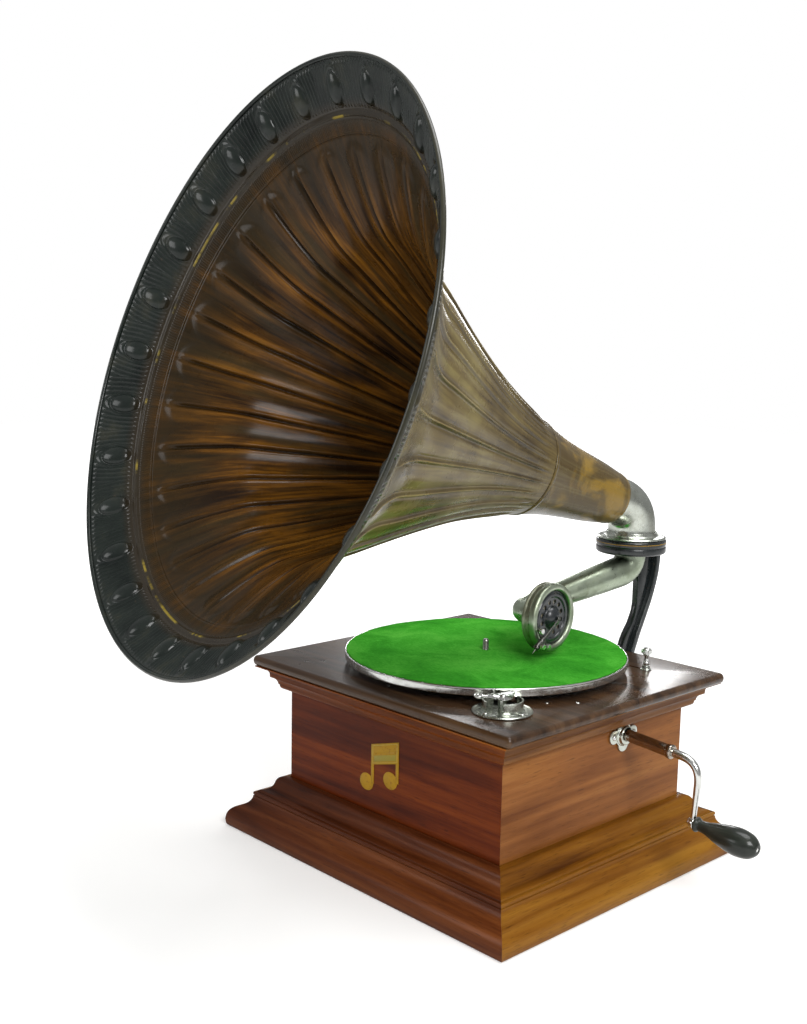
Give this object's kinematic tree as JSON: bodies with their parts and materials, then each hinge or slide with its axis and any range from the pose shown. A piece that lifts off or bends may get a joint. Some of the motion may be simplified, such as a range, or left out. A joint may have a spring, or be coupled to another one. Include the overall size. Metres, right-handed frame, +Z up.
{
  "type": "wind-up horn phonograph",
  "caption": "Hand-cranked table phonograph: moulded wooden cabinet, green-topped turntable, swinging tonearm and a large fluted horn on a rear bracket.",
  "frame": {"origin": "centre of the cabinet's underside, on the surface it stands on", "axes": "+Z up, +X to the crank side, -Y to the front, where the horn points"},
  "size_m": [0.629, 0.653, 0.796],
  "materials": {
    "board_wood": "dark glossy french polish",
    "cabinet_wood": "polished mahogany",
    "base_wood": "bare pine",
    "gilt": "gold leaf transfer",
    "black_iron": "gloss black japanning",
    "nickel": "worn nickel plate",
    "steel": "polished steel",
    "motor_iron": "dull grey casting",
    "brass": "turned brass",
    "baize": "green baize",
    "horn_paint": "wood-grained paint on sheet steel",
    "black_enamel": "gloss black enamel",
    "mica": "thin mica sheet",
    "rubber": "aged rubber",
    "pad_leather": "plain leather",
    "handle_wood": "ebonised wood"
  },
  "bodies": {
    "cabinet": {"top_board": "board_wood", "front_panel": "cabinet_wood", "back_panel": "cabinet_wood", "left_panel": "cabinet_wood", "right_panel": "cabinet_wood", "base_board": "base_wood", "cornice_front": "cabinet_wood", "cornice_right": "cabinet_wood", "cornice_back": "cabinet_wood", "cornice_left": "cabinet_wood", "plinth_front": "cabinet_wood", "plinth_right": "cabinet_wood", "plinth_back": "cabinet_wood", "plinth_left": "cabinet_wood", "front_ornament": "gilt", "horn_bracket": "black_iron", "bracket_bolt_1": "black_iron", "bracket_bolt_2": "black_iron", "horn_collar": "nickel", "brake_base": "nickel", "brake_screw_1": "nickel", "brake_screw_2": "nickel", "brake_pivot_screw": "nickel", "speed_bush": "nickel", "crank_escutcheon": "nickel", "escutcheon_screw_1": "nickel", "escutcheon_screw_2": "nickel", "motor_frame": "motor_iron", "motor_lower_plate": "motor_iron"},
    "turntable": {"turntable": "nickel", "felt_mat": "baize", "spindle": "steel"},
    "intermediate": {"intermediate_gear": "brass"},
    "barrel": {"spring_barrel": "brass", "mainspring": "steel"},
    "governor": {"governor_shaft": "steel", "governor_weights": "brass"},
    "crank": {"crank_shaft": "steel", "crank_arm": "nickel", "crank_pin": "nickel"},
    "handle": {"crank_handle": "handle_wood"},
    "arbor": {"winding_arbor": "steel"},
    "horn": {"horn_elbow": "nickel", "horn_neck": "horn_paint", "horn_bell": "horn_paint"},
    "tonearm": {"tonearm": "nickel"},
    "soundbox": {"soundbox_back": "nickel", "diaphragm": "mica", "diaphragm_gasket": "rubber", "soundbox_bezel": "nickel", "soundbox_grille": "black_enamel", "spring_screw_1": "nickel", "spring_screw_2": "nickel"},
    "stylus": {"stylus_bar": "nickel", "needle": "steel"},
    "needle_screw": {"needle_screw": "nickel"},
    "brake": {"brake_lever": "nickel", "brake_pad": "pad_leather"},
    "speed_screw": {"speed_screw": "nickel"},
    "speed_lever": {"speed_lever": "steel"}
  },
  "joints": [
    {"name": "turntable_spin", "type": "hinge", "parent": "cabinet", "child": "turntable", "pos_m": [0, 0, 0.2], "axis": [0, 0, 1], "continuous": true},
    {"name": "intermediate_spin", "type": "hinge", "parent": "cabinet", "child": "intermediate", "pos_m": [0.0072, 0.0375, 0.14], "axis": [0, 0, 1], "continuous": true},
    {"name": "barrel_spin", "type": "hinge", "parent": "cabinet", "child": "barrel", "pos_m": [0.06, 0.0387, 0.12], "axis": [0, 0, 1], "continuous": true},
    {"name": "governor_spin", "type": "hinge", "parent": "cabinet", "child": "governor", "pos_m": [0.04, 0.0728, 0.159], "axis": [1, 0, 0], "continuous": true},
    {"name": "crank_turn", "type": "hinge", "parent": "cabinet", "child": "crank", "pos_m": [0.1565, 0.0387, 0.149], "axis": [0.9972, 0, -0.075], "continuous": true},
    {"name": "handle_spin", "type": "hinge", "parent": "crank", "child": "handle", "pos_m": [0.24509, 0.0387, 0.08016], "axis": [0.9972, 0, -0.075], "continuous": true},
    {"name": "winding_arbor_spin", "type": "hinge", "parent": "cabinet", "child": "arbor", "pos_m": [0.06, 0.0387, 0.137], "axis": [0, 0, 1], "continuous": true},
    {"name": "horn_swivel", "type": "hinge", "parent": "cabinet", "child": "horn", "pos_m": [0.049, 0.187, 0.327], "axis": [0, 0, 1], "continuous": true},
    {"name": "tonearm_swing", "type": "hinge", "parent": "cabinet", "child": "tonearm", "pos_m": [0.049, 0.187, 0.305], "axis": [0, 0, 1], "range_deg": [-14, 40]},
    {"name": "soundbox_turn", "type": "hinge", "parent": "tonearm", "child": "soundbox", "pos_m": [0.067, 0.031, 0.2545], "axis": [0.9979, 0.0645, 0], "range_deg": [-105, 16]},
    {"name": "stylus_rock", "type": "hinge", "parent": "soundbox", "child": "stylus", "pos_m": [0.07455, 0.00573, 0.23716], "axis": [-0.0361, 0.558, -0.829], "range_deg": [-1.5, 1.5]},
    {"name": "needle_screw_turn", "type": "hinge", "parent": "stylus", "child": "needle_screw", "pos_m": [0.07973, -0.00307, 0.23101], "axis": [0.9979, 0.0645, 0], "range_deg": [-360, 0]},
    {"name": "brake_swing", "type": "hinge", "parent": "cabinet", "child": "brake", "pos_m": [0.13, -0.116, 0.209], "axis": [0, 0, 1], "range_deg": [-14, 0]},
    {"name": "speed_screw_turn", "type": "hinge", "parent": "cabinet", "child": "speed_screw", "pos_m": [0.126, 0.118, 0.2], "axis": [0, 0, 1], "range_deg": [0, 360]},
    {"name": "speed_lever_swing", "type": "hinge", "parent": "cabinet", "child": "speed_lever", "pos_m": [0.12, 0.095, 0.166], "axis": [0, 0, 1], "range_deg": [0, 4]}
  ],
  "couplings": [
    {"joint": "intermediate_spin", "follows": "turntable_spin", "ratio": -0.26667},
    {"joint": "barrel_spin", "follows": "turntable_spin", "ratio": 0.044444},
    {"joint": "governor_spin", "follows": "turntable_spin", "ratio": -8},
    {"joint": "winding_arbor_spin", "follows": "crank_turn", "ratio": 0.5},
    {"joint": "speed_lever_swing", "follows": "speed_screw_turn", "ratio": 0.011111}
  ]
}
